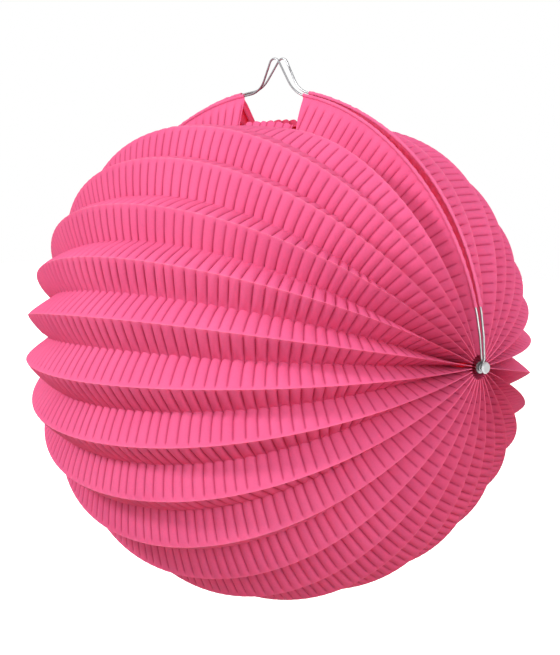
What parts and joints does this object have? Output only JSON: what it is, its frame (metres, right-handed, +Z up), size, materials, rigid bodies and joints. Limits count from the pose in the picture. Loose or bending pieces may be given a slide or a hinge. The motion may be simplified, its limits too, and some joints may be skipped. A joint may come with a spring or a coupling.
{
  "type": "paper lantern",
  "caption": "Round pleated paper lantern that folds flat like a fan, with two wire hangers and a candle seat inside.",
  "frame": {"origin": "hang point, inside the rounded tops of the two wire peaks", "axes": "+X along the fold axis toward the right pole, -Y toward the front, +Z up"},
  "size_m": [0.2468, 0.2397, 0.2562],
  "materials": {
    "paper": "matt dyed paper, cross crimped",
    "steel_wire": "bright drawn wire",
    "steel_rivet": "plain",
    "tin": "thin tinned sheet"
  },
  "bodies": {
    "front_frame": {"wire_front": "steel_wire", "end_panel_front": "paper", "pole_rivet_right": "steel_rivet", "pole_rivet_left": "steel_rivet"},
    "back_frame": {"wire_back": "steel_wire", "end_panel_back": "paper"},
    "pleat_body_01": {"pleat_01": "paper"},
    "pleat_body_02": {"pleat_02": "paper"},
    "pleat_body_03": {"pleat_03": "paper"},
    "pleat_body_04": {"pleat_04": "paper"},
    "pleat_body_05": {"pleat_05": "paper"},
    "pleat_body_06": {"pleat_06": "paper"},
    "pleat_body_07": {"pleat_07": "paper"},
    "pleat_body_08": {"pleat_08": "paper"},
    "pleat_body_09": {"pleat_09": "paper"},
    "pleat_body_10": {"pleat_10": "paper"},
    "pleat_body_11": {"pleat_11": "paper"},
    "pleat_body_12": {"pleat_12": "paper"},
    "pleat_body_13": {"pleat_13": "paper"},
    "pleat_body_14": {"pleat_14": "paper"},
    "pleat_body_15": {"pleat_15": "paper"},
    "pleat_body_16": {"pleat_16": "paper"},
    "pleat_body_17": {"pleat_17": "paper"},
    "pleat_body_18": {"pleat_18": "paper"},
    "pleat_body_19": {"pleat_19": "paper"},
    "pleat_body_20": {"pleat_20": "paper"},
    "pleat_body_21": {"pleat_21": "paper"},
    "pleat_body_22": {"pleat_22": "paper"},
    "pleat_body_23": {"pleat_23": "paper"},
    "pleat_body_24": {"pleat_24": "paper"},
    "pleat_body_25": {"pleat_25": "paper"},
    "candle_seat": {"candle_cup": "tin", "drip_dish": "tin", "seat_strip": "tin", "seat_rivet": "steel_rivet"}
  },
  "joints": [
    {"name": "unfold", "type": "hinge", "parent": "front_frame", "child": "back_frame", "pos_m": [0, 0, -0.136], "axis": [-1, 0, 0], "range_deg": [0, 345], "deforming": ["end_panel_front", "end_panel_back"]},
    {"name": "pleat_01_fold", "type": "hinge", "parent": "front_frame", "child": "pleat_body_01", "pos_m": [0, 0, -0.136], "axis": [-1, 0, 0], "range_deg": [0, 18.21], "deforming": ["pleat_01"]},
    {"name": "pleat_02_fold", "type": "hinge", "parent": "front_frame", "child": "pleat_body_02", "pos_m": [0, 0, -0.136], "axis": [-1, 0, 0], "range_deg": [0, 37.13], "deforming": ["pleat_02"]},
    {"name": "pleat_03_fold", "type": "hinge", "parent": "front_frame", "child": "pleat_body_03", "pos_m": [0, 0, -0.136], "axis": [-1, 0, 0], "range_deg": [0, 49.56], "deforming": ["pleat_03"]},
    {"name": "pleat_04_fold", "type": "hinge", "parent": "front_frame", "child": "pleat_body_04", "pos_m": [0, 0, -0.136], "axis": [-1, 0, 0], "range_deg": [0, 62.19], "deforming": ["pleat_04"]},
    {"name": "pleat_05_fold", "type": "hinge", "parent": "front_frame", "child": "pleat_body_05", "pos_m": [0, 0, -0.136], "axis": [-1, 0, 0], "range_deg": [0, 75.06], "deforming": ["pleat_05"]},
    {"name": "pleat_06_fold", "type": "hinge", "parent": "front_frame", "child": "pleat_body_06", "pos_m": [0, 0, -0.136], "axis": [-1, 0, 0], "range_deg": [0, 88.14], "deforming": ["pleat_06"]},
    {"name": "pleat_07_fold", "type": "hinge", "parent": "front_frame", "child": "pleat_body_07", "pos_m": [0, 0, -0.136], "axis": [-1, 0, 0], "range_deg": [0, 101.37], "deforming": ["pleat_07"]},
    {"name": "pleat_08_fold", "type": "hinge", "parent": "front_frame", "child": "pleat_body_08", "pos_m": [0, 0, -0.136], "axis": [-1, 0, 0], "range_deg": [0, 114.64], "deforming": ["pleat_08"]},
    {"name": "pleat_09_fold", "type": "hinge", "parent": "front_frame", "child": "pleat_body_09", "pos_m": [0, 0, -0.136], "axis": [-1, 0, 0], "range_deg": [0, 127.83], "deforming": ["pleat_09"]},
    {"name": "pleat_10_fold", "type": "hinge", "parent": "front_frame", "child": "pleat_body_10", "pos_m": [0, 0, -0.136], "axis": [-1, 0, 0], "range_deg": [0, 140.86], "deforming": ["pleat_10"]},
    {"name": "pleat_11_fold", "type": "hinge", "parent": "front_frame", "child": "pleat_body_11", "pos_m": [0, 0, -0.136], "axis": [-1, 0, 0], "range_deg": [0, 153.66], "deforming": ["pleat_11"]},
    {"name": "pleat_12_fold", "type": "hinge", "parent": "front_frame", "child": "pleat_body_12", "pos_m": [0, 0, -0.136], "axis": [-1, 0, 0], "range_deg": [0, 166.24], "deforming": ["pleat_12"]},
    {"name": "pleat_13_fold", "type": "hinge", "parent": "front_frame", "child": "pleat_body_13", "pos_m": [0, 0, -0.136], "axis": [-1, 0, 0], "range_deg": [0, 178.61], "deforming": ["pleat_13"]},
    {"name": "pleat_14_fold", "type": "hinge", "parent": "front_frame", "child": "pleat_body_14", "pos_m": [0, 0, -0.136], "axis": [-1, 0, 0], "range_deg": [0, 190.85], "deforming": ["pleat_14"]},
    {"name": "pleat_15_fold", "type": "hinge", "parent": "front_frame", "child": "pleat_body_15", "pos_m": [0, 0, -0.136], "axis": [-1, 0, 0], "range_deg": [0, 203.01], "deforming": ["pleat_15"]},
    {"name": "pleat_16_fold", "type": "hinge", "parent": "front_frame", "child": "pleat_body_16", "pos_m": [0, 0, -0.136], "axis": [-1, 0, 0], "range_deg": [0, 215.14], "deforming": ["pleat_16"]},
    {"name": "pleat_17_fold", "type": "hinge", "parent": "front_frame", "child": "pleat_body_17", "pos_m": [0, 0, -0.136], "axis": [-1, 0, 0], "range_deg": [0, 227.24], "deforming": ["pleat_17"]},
    {"name": "pleat_18_fold", "type": "hinge", "parent": "front_frame", "child": "pleat_body_18", "pos_m": [0, 0, -0.136], "axis": [-1, 0, 0], "range_deg": [0, 239.28], "deforming": ["pleat_18"]},
    {"name": "pleat_19_fold", "type": "hinge", "parent": "front_frame", "child": "pleat_body_19", "pos_m": [0, 0, -0.136], "axis": [-1, 0, 0], "range_deg": [0, 251.17], "deforming": ["pleat_19"]},
    {"name": "pleat_20_fold", "type": "hinge", "parent": "front_frame", "child": "pleat_body_20", "pos_m": [0, 0, -0.136], "axis": [-1, 0, 0], "range_deg": [0, 262.82], "deforming": ["pleat_20"]},
    {"name": "pleat_21_fold", "type": "hinge", "parent": "front_frame", "child": "pleat_body_21", "pos_m": [0, 0, -0.136], "axis": [-1, 0, 0], "range_deg": [0, 274.17], "deforming": ["pleat_21"]},
    {"name": "pleat_22_fold", "type": "hinge", "parent": "front_frame", "child": "pleat_body_22", "pos_m": [0, 0, -0.136], "axis": [-1, 0, 0], "range_deg": [0, 285.16], "deforming": ["pleat_22"]},
    {"name": "pleat_23_fold", "type": "hinge", "parent": "front_frame", "child": "pleat_body_23", "pos_m": [0, 0, -0.136], "axis": [-1, 0, 0], "range_deg": [0, 295.81], "deforming": ["pleat_23"]},
    {"name": "pleat_24_fold", "type": "hinge", "parent": "front_frame", "child": "pleat_body_24", "pos_m": [0, 0, -0.136], "axis": [-1, 0, 0], "range_deg": [0, 306.19], "deforming": ["pleat_24"]},
    {"name": "pleat_25_fold", "type": "hinge", "parent": "front_frame", "child": "pleat_body_25", "pos_m": [0, 0, -0.136], "axis": [-1, 0, 0], "range_deg": [0, 325.47], "deforming": ["pleat_25"]},
    {"name": "candle_seat_turn", "type": "hinge", "parent": "front_frame", "child": "candle_seat", "pos_m": [0, 0, -0.136], "axis": [-1, 0, 0], "range_deg": [0, 172.47]}
  ],
  "couplings": [
    {"joint": "pleat_01_fold", "follows": "unfold", "ratio": 0.05265},
    {"joint": "pleat_02_fold", "follows": "unfold", "ratio": 0.10749},
    {"joint": "pleat_03_fold", "follows": "unfold", "ratio": 0.14351},
    {"joint": "pleat_04_fold", "follows": "unfold", "ratio": 0.18012},
    {"joint": "pleat_05_fold", "follows": "unfold", "ratio": 0.21742},
    {"joint": "pleat_06_fold", "follows": "unfold", "ratio": 0.25534},
    {"joint": "pleat_07_fold", "follows": "unfold", "ratio": 0.29369},
    {"joint": "pleat_08_fold", "follows": "unfold", "ratio": 0.33215},
    {"joint": "pleat_09_fold", "follows": "unfold", "ratio": 0.37039},
    {"joint": "pleat_10_fold", "follows": "unfold", "ratio": 0.40815},
    {"joint": "pleat_11_fold", "follows": "unfold", "ratio": 0.44526},
    {"joint": "pleat_12_fold", "follows": "unfold", "ratio": 0.4817},
    {"joint": "pleat_13_fold", "follows": "unfold", "ratio": 0.51757},
    {"joint": "pleat_14_fold", "follows": "unfold", "ratio": 0.55304},
    {"joint": "pleat_15_fold", "follows": "unfold", "ratio": 0.58829},
    {"joint": "pleat_16_fold", "follows": "unfold", "ratio": 0.62345},
    {"joint": "pleat_17_fold", "follows": "unfold", "ratio": 0.65853},
    {"joint": "pleat_18_fold", "follows": "unfold", "ratio": 0.69341},
    {"joint": "pleat_19_fold", "follows": "unfold", "ratio": 0.72787},
    {"joint": "pleat_20_fold", "follows": "unfold", "ratio": 0.76166},
    {"joint": "pleat_21_fold", "follows": "unfold", "ratio": 0.79454},
    {"joint": "pleat_22_fold", "follows": "unfold", "ratio": 0.8264},
    {"joint": "pleat_23_fold", "follows": "unfold", "ratio": 0.85727},
    {"joint": "pleat_24_fold", "follows": "unfold", "ratio": 0.88735},
    {"joint": "pleat_25_fold", "follows": "unfold", "ratio": 0.94326},
    {"joint": "candle_seat_turn", "follows": "unfold", "ratio": 0.49976}
  ]
}
